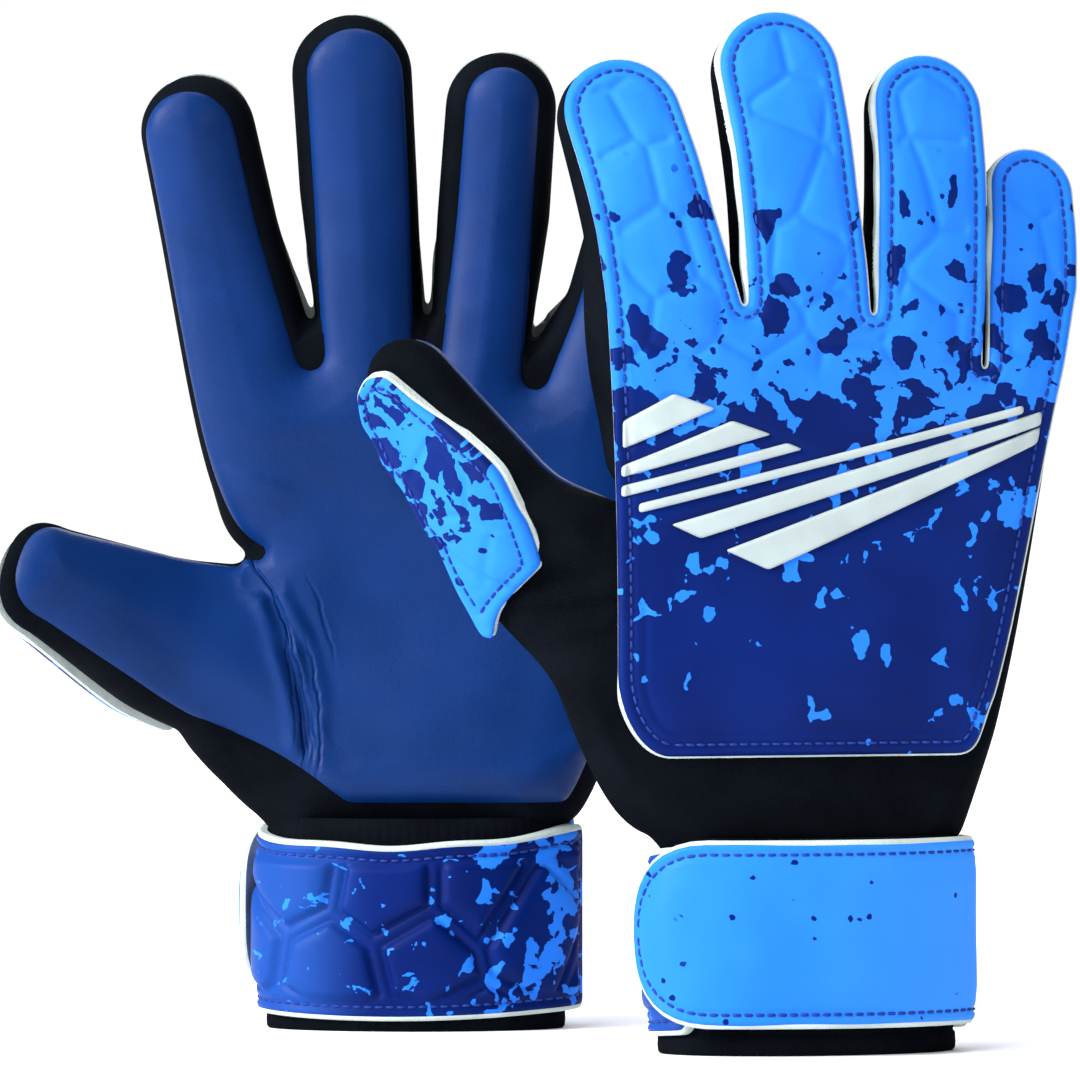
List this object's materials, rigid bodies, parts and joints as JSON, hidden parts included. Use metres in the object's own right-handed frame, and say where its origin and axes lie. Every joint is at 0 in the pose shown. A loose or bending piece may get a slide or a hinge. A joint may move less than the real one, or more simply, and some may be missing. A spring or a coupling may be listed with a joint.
{
  "type": "goalkeeper gloves",
  "caption": "Pair of goalkeeper gloves with padded latex palms, printed foam backs, stretch gussets and wrap-round wrist straps, standing on their cuffs.",
  "frame": {"origin": "centre of the pair's box, on the plane that the cuffs stand on", "axes": "+Z from the cuffs to the fingertips, +X across the hands from the left glove to the right glove, +Y from the right glove to the left glove; the left palm and the right back face -Y"},
  "size_m": [0.2938, 0.158, 0.2699],
  "materials": {
    "latex_palm": "satin royal blue latex foam, fine-pored",
    "printed_skin": "soft synthetic leather printed light blue over navy, embossed",
    "white_foam": "matt white foam with cut edges",
    "stretch_fabric": "matt black knitted stretch fabric",
    "elastic_cuff": "matt black ribbed elastic",
    "printed_strap": "soft synthetic leather on foam, printed blue",
    "loop_tape": "black brushed loop tape",
    "hook_tape": "black hook tape"
  },
  "bodies": {
    "left_hand": {"left_palm_latex": "latex_palm", "left_back_fabric": "stretch_fabric", "left_backhand_foam": "white_foam", "left_backhand_panel": "printed_skin", "left_thenar_gusset": "stretch_fabric", "left_thumb_web_gusset": "stretch_fabric", "left_index_web_gusset": "stretch_fabric", "left_middle_web_gusset": "stretch_fabric", "left_ring_web_gusset": "stretch_fabric", "left_heel_gusset": "stretch_fabric", "left_cuff": "elastic_cuff", "left_strap_band": "printed_strap", "left_loop_patch": "loop_tape"},
    "left_index": {"left_index_latex": "latex_palm", "left_index_back": "printed_skin", "left_index_gusset": "stretch_fabric"},
    "left_middle": {"left_middle_latex": "latex_palm", "left_middle_back": "printed_skin", "left_middle_gusset": "stretch_fabric"},
    "left_ring": {"left_ring_latex": "latex_palm", "left_ring_back": "printed_skin", "left_ring_gusset": "stretch_fabric"},
    "left_little": {"left_little_latex": "latex_palm", "left_little_back": "printed_skin", "left_little_gusset": "stretch_fabric"},
    "left_thumb": {"left_thumb_latex": "latex_palm", "left_thumb_back": "printed_skin", "left_thumb_gusset": "stretch_fabric"},
    "left_strap": {"left_strap_tab": "printed_strap", "left_hook_patch": "hook_tape"},
    "right_hand": {"right_palm_latex": "latex_palm", "right_back_fabric": "stretch_fabric", "right_backhand_foam": "white_foam", "right_backhand_panel": "printed_skin", "right_thenar_gusset": "stretch_fabric", "right_thumb_web_gusset": "stretch_fabric", "right_index_web_gusset": "stretch_fabric", "right_middle_web_gusset": "stretch_fabric", "right_ring_web_gusset": "stretch_fabric", "right_heel_gusset": "stretch_fabric", "right_cuff": "elastic_cuff", "right_strap_band": "printed_strap", "right_loop_patch": "loop_tape"},
    "right_index": {"right_index_latex": "latex_palm", "right_index_back": "printed_skin", "right_index_gusset": "stretch_fabric"},
    "right_middle": {"right_middle_latex": "latex_palm", "right_middle_back": "printed_skin", "right_middle_gusset": "stretch_fabric"},
    "right_ring": {"right_ring_latex": "latex_palm", "right_ring_back": "printed_skin", "right_ring_gusset": "stretch_fabric"},
    "right_little": {"right_little_latex": "latex_palm", "right_little_back": "printed_skin", "right_little_gusset": "stretch_fabric"},
    "right_thumb": {"right_thumb_latex": "latex_palm", "right_thumb_back": "printed_skin", "right_thumb_gusset": "stretch_fabric"},
    "right_strap": {"right_strap_tab": "printed_strap", "right_hook_patch": "hook_tape"}
  },
  "joints": [
    {"name": "left_index_curl", "type": "hinge", "parent": "left_hand", "child": "left_index", "pos_m": [-0.07727, 0.03596, 0.2085], "axis": [0.9799, 0, 0.1994], "range_deg": [-8, 75], "stiffness_Nm_per_rad": 0.05},
    {"name": "left_middle_curl", "type": "hinge", "parent": "left_hand", "child": "left_middle", "pos_m": [-0.04087, 0.03596, 0.22], "axis": [0.9985, 0, 0.0541], "range_deg": [-8, 75], "stiffness_Nm_per_rad": 0.05},
    {"name": "left_ring_curl", "type": "hinge", "parent": "left_hand", "child": "left_ring", "pos_m": [-0.00547, 0.03596, 0.213], "axis": [0.9976, 0, -0.0698], "range_deg": [-8, 75], "stiffness_Nm_per_rad": 0.05},
    {"name": "left_little_curl", "type": "hinge", "parent": "left_hand", "child": "left_little", "pos_m": [0.02563, 0.03596, 0.19], "axis": [0.9703, 0, -0.2419], "range_deg": [-8, 75], "stiffness_Nm_per_rad": 0.05},
    {"name": "left_thumb_curl", "type": "hinge", "parent": "left_hand", "child": "left_thumb", "pos_m": [-0.07737, 0.03596, 0.1015], "axis": [0.2662, 0.2588, 0.9285], "range_deg": [-8, 45], "stiffness_Nm_per_rad": 0.2},
    {"name": "left_strap_open", "type": "hinge", "parent": "left_hand", "child": "left_strap", "pos_m": [0.0187, 0.05285, 0.03], "axis": [0, 0, -1], "range_deg": [0, 120]},
    {"name": "right_glove_lift", "type": "slide", "parent": "left_hand", "child": "right_hand", "axis": [0, 0, 1], "range_m": [0, 0.3]},
    {"name": "right_index_curl", "type": "hinge", "parent": "right_hand", "child": "right_index", "pos_m": [0.03043, -0.03885, 0.212], "axis": [-0.9508, -0.2371, -0.1994], "range_deg": [-8, 75], "stiffness_Nm_per_rad": 0.05},
    {"name": "right_middle_curl", "type": "hinge", "parent": "right_hand", "child": "right_middle", "pos_m": [0.06672, -0.0298, 0.22], "axis": [-0.9677, -0.2413, -0.0732], "range_deg": [-8, 75], "stiffness_Nm_per_rad": 0.05},
    {"name": "right_ring_curl", "type": "hinge", "parent": "right_hand", "child": "right_ring", "pos_m": [0.10116, -0.02121, 0.2115], "axis": [-0.9686, -0.2415, 0.0593], "range_deg": [-8, 75], "stiffness_Nm_per_rad": 0.05},
    {"name": "right_little_curl", "type": "hinge", "parent": "right_hand", "child": "right_little", "pos_m": [0.12814, -0.01449, 0.196], "axis": [-0.966, -0.2408, 0.0941], "range_deg": [-8, 75], "stiffness_Nm_per_rad": 0.05},
    {"name": "right_thumb_curl", "type": "hinge", "parent": "right_hand", "child": "right_thumb", "pos_m": [0.0117, -0.04352, 0.129], "axis": [-0.634, 0.6314, -0.4465], "range_deg": [-8, 45], "stiffness_Nm_per_rad": 0.2},
    {"name": "right_strap_open", "type": "hinge", "parent": "right_hand", "child": "right_strap", "pos_m": [0.1192, -0.03413, 0.03], "axis": [0, 0, 1], "range_deg": [0, 120]}
  ]
}
